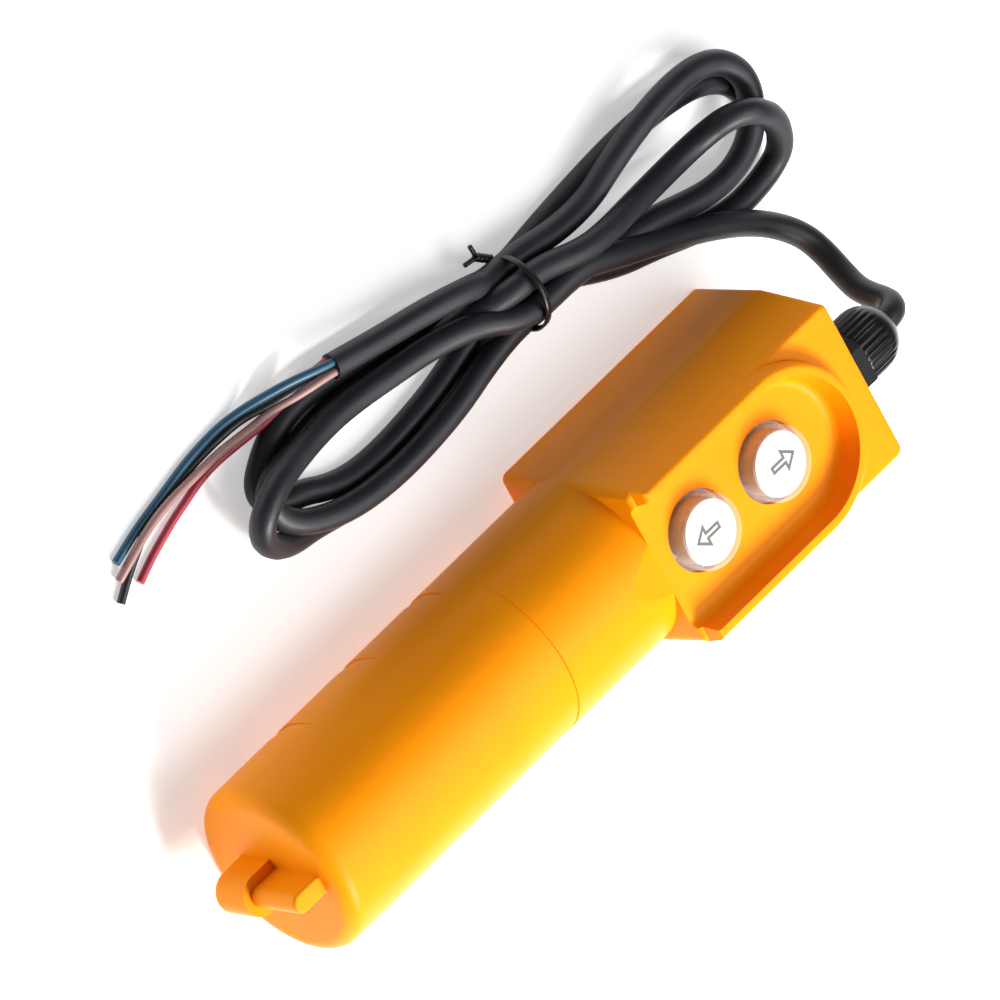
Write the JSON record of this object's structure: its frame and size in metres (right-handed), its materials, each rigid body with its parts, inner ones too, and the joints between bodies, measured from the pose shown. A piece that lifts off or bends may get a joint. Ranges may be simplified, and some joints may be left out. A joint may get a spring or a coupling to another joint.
{
  "type": "pushbutton switch",
  "caption": "Yellow hand pendant pushbutton switch with spring-return up and down buttons in a guard collar, round finger grip, hanging lug and cable gland with a tied lead.",
  "frame": {"origin": "under the middle of the pendant's box, at the height of its flat back; the free cable isn't counted", "axes": "+Z out of the buttons, +Y along the handle towards the cable gland, +X to the right when the buttons are looked at with the gland at the top"},
  "size_m": [0.1349, 0.2915, 0.0616],
  "materials": {
    "yellow_shell": "semi-gloss moulded",
    "clear_cap": "clear moulded",
    "white_legend": "satin with a printed outline arrow",
    "black_nylon": "satin moulded",
    "black_sheath": "satin extruded",
    "seal_rubber": "matt",
    "steel_screw": "zinc plated",
    "steel_plate": "zinc plated",
    "spring_steel": "drawn wire",
    "contact_brass": "stamped",
    "block_plastic": "moulded",
    "core_blue": "satin extruded",
    "core_black": "satin extruded",
    "core_brown": "satin extruded",
    "core_red": "satin extruded",
    "tie_wire": "plastic-coated wire"
  },
  "bodies": {
    "pendant": {"housing_front": "yellow_shell", "housing_rear": "yellow_shell", "case_screws": "steel_screw", "gland_washer": "seal_rubber", "gland_body": "black_nylon", "gland_seal": "seal_rubber", "gland_nut": "black_nylon", "gland_locknut": "black_nylon", "cable_entry": "black_sheath", "inner_cores": "core_brown", "switch_plate": "steel_plate", "plate_screws": "steel_screw", "block_screws": "steel_screw", "cable_lead": "black_sheath", "cable_hank": "black_sheath", "cable_tie": "tie_wire", "wire_blue": "core_blue", "wire_black": "core_black", "wire_brown": "core_brown", "wire_red": "core_red", "button_guide_up": "block_plastic", "return_spring_up": "spring_steel", "contact_block_up": "block_plastic", "fixed_contacts_up": "contact_brass", "terminal_screws_up": "steel_screw", "button_guide_down": "block_plastic", "return_spring_down": "spring_steel", "contact_block_down": "block_plastic", "fixed_contacts_down": "contact_brass", "terminal_screws_down": "steel_screw"},
    "button_up": {"button_cap_up": "clear_cap", "legend_disc_up": "white_legend", "plunger_up": "block_plastic", "contact_bridge_up": "contact_brass"},
    "button_down": {"button_cap_down": "clear_cap", "legend_disc_down": "white_legend", "plunger_down": "block_plastic", "contact_bridge_down": "contact_brass"}
  },
  "joints": [
    {"name": "press_up", "type": "slide", "parent": "pendant", "child": "button_up", "axis": [0, 0, -1], "range_m": [0, 0.004], "stiffness_N_per_m": 400, "springref_m": -0.002, "deforming": ["return_spring_up"]},
    {"name": "press_down", "type": "slide", "parent": "pendant", "child": "button_down", "axis": [0, 0, -1], "range_m": [0, 0.004], "stiffness_N_per_m": 400, "springref_m": -0.002, "deforming": ["return_spring_down"]}
  ]
}
